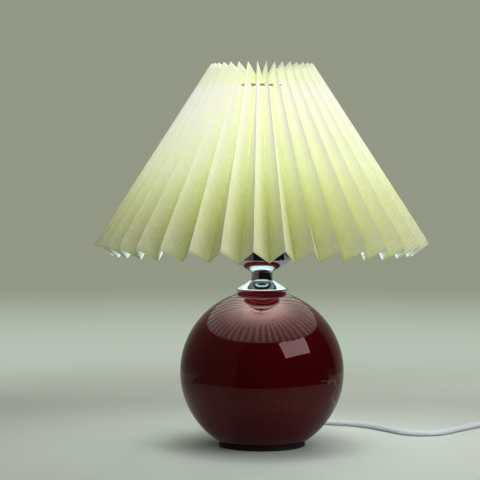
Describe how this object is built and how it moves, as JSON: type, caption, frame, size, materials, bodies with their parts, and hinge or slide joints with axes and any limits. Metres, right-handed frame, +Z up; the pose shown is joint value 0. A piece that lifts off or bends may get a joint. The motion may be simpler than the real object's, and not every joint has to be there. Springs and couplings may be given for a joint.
{
  "type": "ceramic table lamp",
  "caption": "Table lamp with a glazed ceramic ball stand, chrome neck, pleated fabric shade that turns, screw-in bulb, and a cord with a rocker switch and plug.",
  "frame": {"origin": "centre of the foot on the table, on the lamp's axis", "axes": "+Z up along the stem, -Y to the front as pictured, +X to the right where the cord runs"},
  "size_m": [0.5417, 0.2998, 0.344],
  "materials": {
    "glaze": "deep gloss",
    "pad_black": "matte",
    "chrome": "polished",
    "steel": "zinc plated",
    "holder_black": "satin",
    "brass": "stamped",
    "shade_cloth": "woven, stiffened",
    "wire_olive": "lacquered",
    "cord_pale": "smooth",
    "switch_white": "moulded",
    "bulb_opal": "frosted, lit",
    "bulb_white": "moulded",
    "insulator_black": "moulded",
    "board_white": "white coated"
  },
  "bodies": {
    "stand": {"ceramic_body": "glaze", "foot_pad": "pad_black", "cord_bush": "cord_pale", "stem_nipple": "steel", "stem_washer": "steel", "stem_nut": "steel", "vase_cap": "chrome", "neck_spacer": "chrome", "socket_cup": "chrome", "cup_nut": "steel", "holder_base": "holder_black", "holder_core": "holder_black", "holder_sleeve": "holder_black", "screw_shell": "brass", "centre_contact": "brass", "terminal_screws": "brass", "holder_ring": "holder_black", "terminal_leads": "cord_pale", "inner_cord": "cord_pale", "cord_lead": "cord_pale", "switch_lower": "switch_white", "switch_upper": "switch_white", "switch_pin": "steel", "switch_screws": "steel", "switch_contacts": "brass", "cord_link": "cord_pale", "cord_coil": "cord_pale", "cord_tie": "cord_pale", "plug_tail": "cord_pale", "plug_body": "cord_pale", "plug_pins": "steel"},
    "shade": {"pleated_shade": "shade_cloth", "shade_carrier": "wire_olive"},
    "bulb_tip": {"bulb_contact": "brass"},
    "bulb": {"bulb_globe": "bulb_opal", "bulb_housing": "bulb_white", "bulb_screw_cap": "steel", "bulb_insulator": "insulator_black", "led_board": "board_white"},
    "rocker": {"switch_rocker": "switch_white"}
  },
  "joints": [
    {"name": "shade_swivel", "type": "hinge", "parent": "stand", "child": "shade", "pos_m": [0, 0, 0.2], "axis": [0, 0, 1], "continuous": true},
    {"name": "bulb_rise", "type": "slide", "parent": "stand", "child": "bulb_tip", "axis": [0, 0, 1], "range_m": [0, 0.02403]},
    {"name": "bulb_turn", "type": "hinge", "parent": "bulb_tip", "child": "bulb", "pos_m": [0, 0, 0.2], "axis": [0, 0, 1], "range_deg": [0, 2340]},
    {"name": "switch_rocker", "type": "hinge", "parent": "stand", "child": "rocker", "pos_m": [0.294, 0.127, 0.0116], "axis": [0, -1, 0], "range_deg": [0, 16]}
  ],
  "couplings": [
    {"joint": "bulb_rise", "follows": "bulb_turn", "m_per_rad": 0.00057614}
  ]
}
